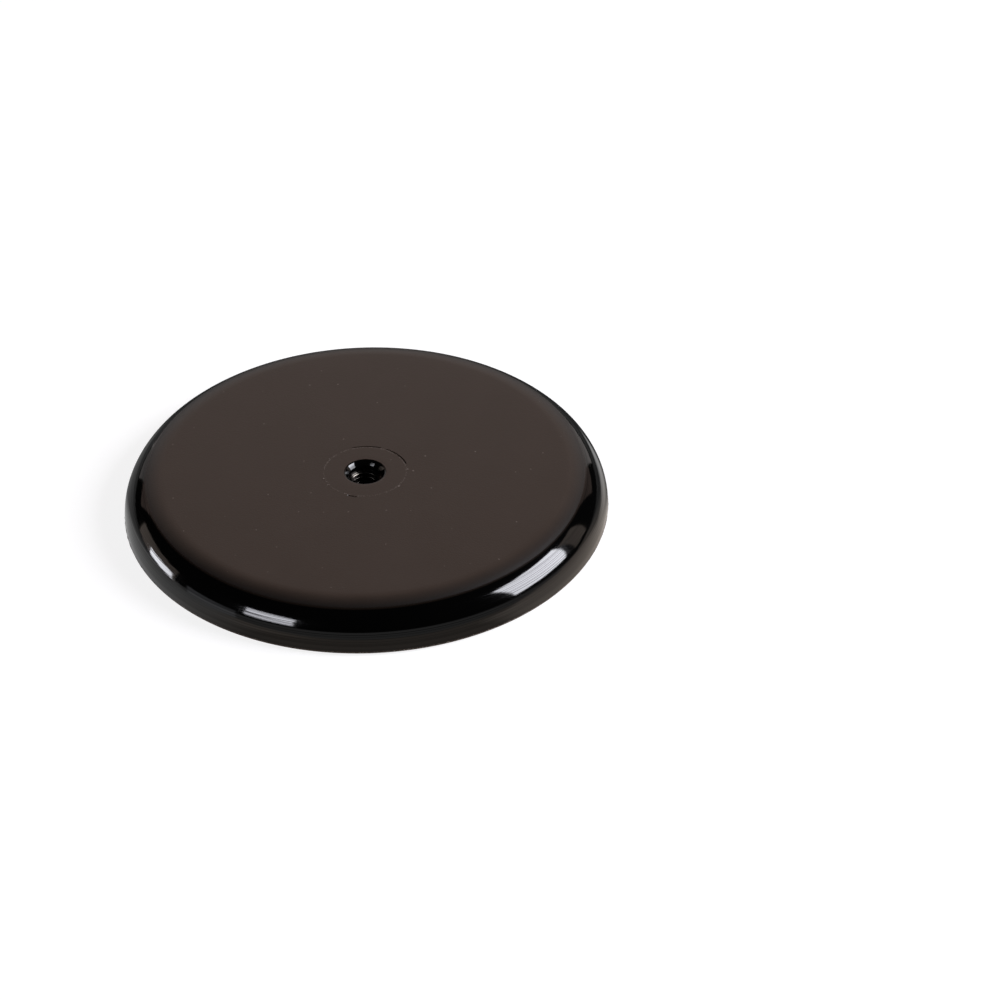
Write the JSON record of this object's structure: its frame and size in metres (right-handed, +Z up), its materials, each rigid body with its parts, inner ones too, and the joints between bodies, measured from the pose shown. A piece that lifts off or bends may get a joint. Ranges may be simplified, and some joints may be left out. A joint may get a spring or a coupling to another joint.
{
  "type": "anti-slip pad",
  "caption": "Round rubber anti-slip pad with a rounded edge, an M6 thread in the middle of its top and a grained standing face backed by disc magnets.",
  "frame": {"origin": "middle of the grained standing face, on the surface that the pad stands on", "axes": "+Z up along the thread's axis, out of its mouth; X and Y lie across the round pad"},
  "size_m": [0.088, 0.088, 0.0085],
  "materials": {
    "shell_rubber": "satin top face, polished rounded edge",
    "face_rubber": "fine moulded grain, matt",
    "plate_steel": "zinc plated, dull",
    "bush_steel": "blackened, machined",
    "holder_plastic": "natural moulded nylon",
    "magnet_nickel": "bright nickel plate"
  },
  "bodies": {
    "root": {"shell": "shell_rubber", "friction_face": "face_rubber", "yoke_plate": "plate_steel", "thread_bush": "bush_steel", "magnet_holder": "holder_plastic", "outer_magnet_01": "magnet_nickel", "outer_magnet_02": "magnet_nickel", "outer_magnet_03": "magnet_nickel", "outer_magnet_04": "magnet_nickel", "outer_magnet_05": "magnet_nickel", "outer_magnet_06": "magnet_nickel", "outer_magnet_07": "magnet_nickel", "outer_magnet_08": "magnet_nickel", "outer_magnet_09": "magnet_nickel", "outer_magnet_10": "magnet_nickel", "outer_magnet_11": "magnet_nickel", "outer_magnet_12": "magnet_nickel", "inner_magnet_01": "magnet_nickel", "inner_magnet_02": "magnet_nickel", "inner_magnet_03": "magnet_nickel", "inner_magnet_04": "magnet_nickel", "inner_magnet_05": "magnet_nickel", "inner_magnet_06": "magnet_nickel"}
  },
  "joints": []
}
